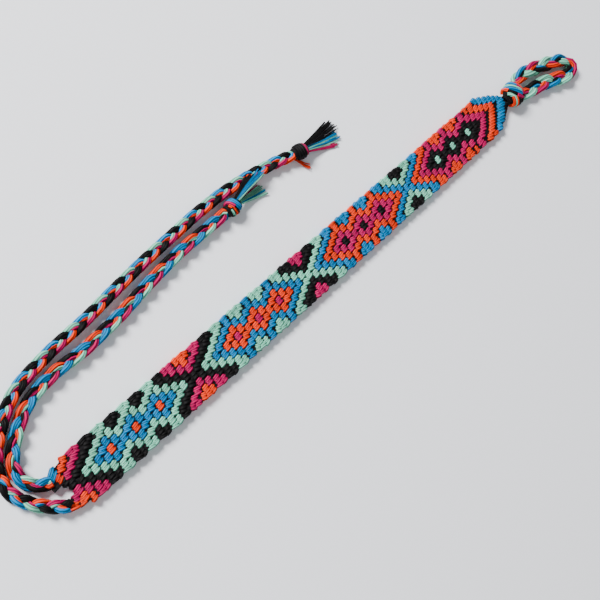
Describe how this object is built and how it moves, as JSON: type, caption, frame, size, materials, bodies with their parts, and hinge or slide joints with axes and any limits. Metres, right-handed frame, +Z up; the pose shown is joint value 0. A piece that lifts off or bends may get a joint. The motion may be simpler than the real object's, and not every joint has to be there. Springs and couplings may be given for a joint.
{
  "type": "friendship bracelet",
  "caption": "Knotted cotton friendship bracelet with nested diamond pattern, a braided loop at one end and two braided tails with knots and tufts at the other, laid open and flat.",
  "frame": {"origin": "middle of the knotted band, on the surface that the bracelet lies on", "axes": "+X along the knotted band towards the loop; +Y across the band, towards the side that the two tails curl round to; +Z up"},
  "size_m": [0.1823, 0.0344, 0.0042],
  "materials": {
    "band_threads": "matte knotted cotton in five colours, worked as nested diamonds",
    "orange_threads": "matte embroidery cotton, slight sheen",
    "magenta_threads": "matte embroidery cotton, slight sheen",
    "mint_threads": "matte embroidery cotton, slight sheen",
    "blue_threads": "matte embroidery cotton, slight sheen",
    "black_threads": "matte embroidery cotton, slight sheen"
  },
  "bodies": {
    "root": {"knotted_band": "band_threads", "loop_knot": "black_threads", "loop_strand_a": "orange_threads", "loop_strand_b": "black_threads", "loop_strand_c": "mint_threads", "short_tail_strand_a": "orange_threads", "short_tail_strand_b": "blue_threads", "short_tail_strand_c": "magenta_threads", "short_tail_knot": "blue_threads", "long_tail_strand_a": "black_threads", "long_tail_strand_b": "blue_threads", "long_tail_strand_c": "mint_threads", "long_tail_knot": "black_threads"}
  },
  "joints": []
}
